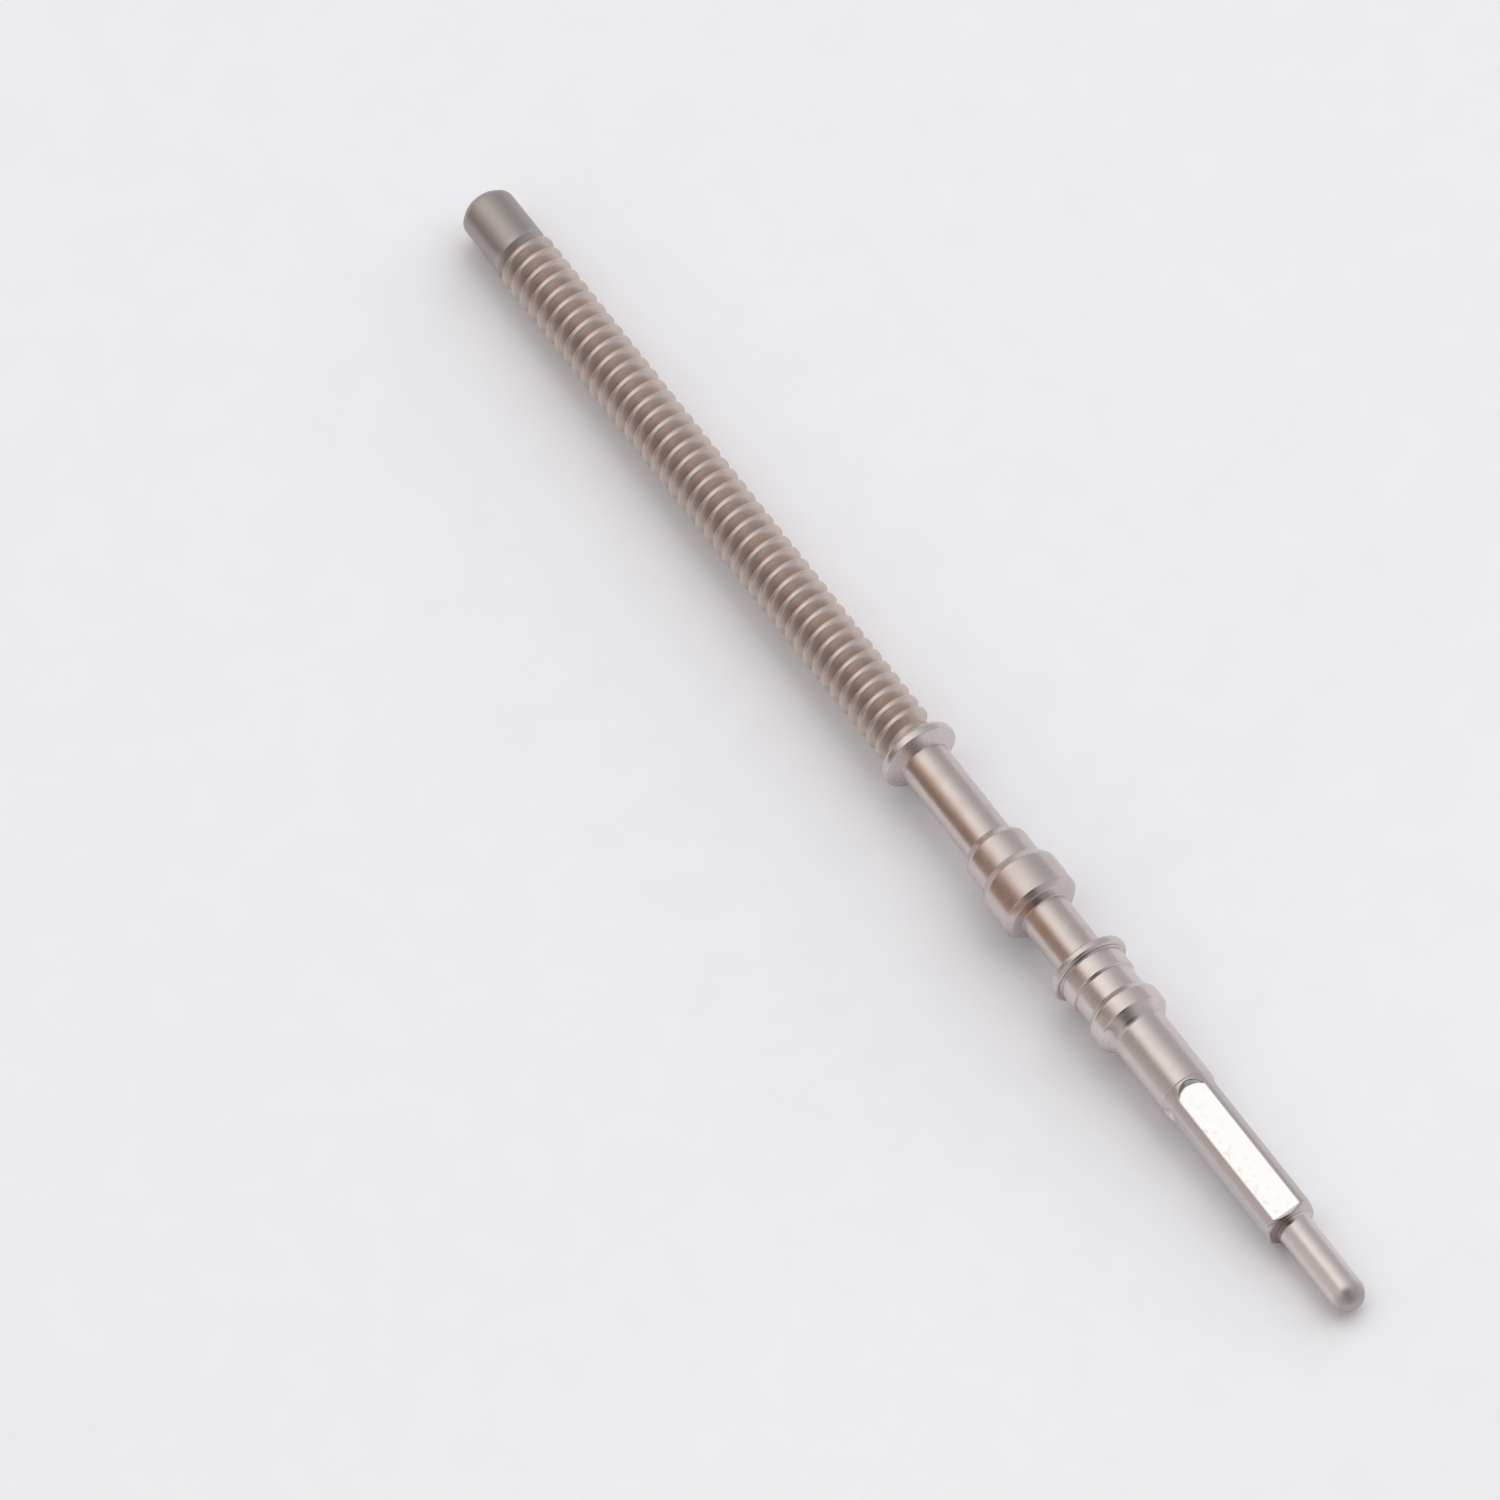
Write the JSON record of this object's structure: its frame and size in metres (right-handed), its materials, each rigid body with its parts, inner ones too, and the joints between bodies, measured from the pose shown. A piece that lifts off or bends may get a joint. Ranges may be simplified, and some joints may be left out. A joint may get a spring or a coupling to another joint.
{
  "type": "watch stem",
  "caption": "Watch winding stem: slim turned steel bar with a threaded crown end, bearing hub, lever slot, shoulder rings, clutch square and pilot.",
  "frame": {"origin": "on the stem's axis, in the middle of the hub's bearing land, which turns in the movement's main plate", "axes": "+X along the axis, from the crown end towards the pilot; +Z is the outward normal of one flat of the square, +Y of the next but one quarter turn"},
  "size_m": [0.0215, 0.0012, 0.0012],
  "materials": {
    "bare_steel": "fine turned and burnished carbon steel, warm grey, with a soft sheen",
    "thread_steel": "cut thread in the same steel, a little browner and duller in its grooves",
    "flat_steel": "milled flats in the same steel, brighter, with fine marks along them"
  },
  "bodies": {
    "root": {"thread_lead": "thread_steel", "crown_thread": "thread_steel", "thread_collar": "bare_steel", "shank": "bare_steel", "hub_step": "bare_steel", "plate_hub": "bare_steel", "lever_slot": "bare_steel", "slot_flange": "bare_steel", "stop_ring": "bare_steel", "guide_land": "bare_steel", "pinion_shoulder": "bare_steel", "pinion_journal": "bare_steel", "clutch_square": "flat_steel", "pilot": "bare_steel"}
  },
  "joints": []
}
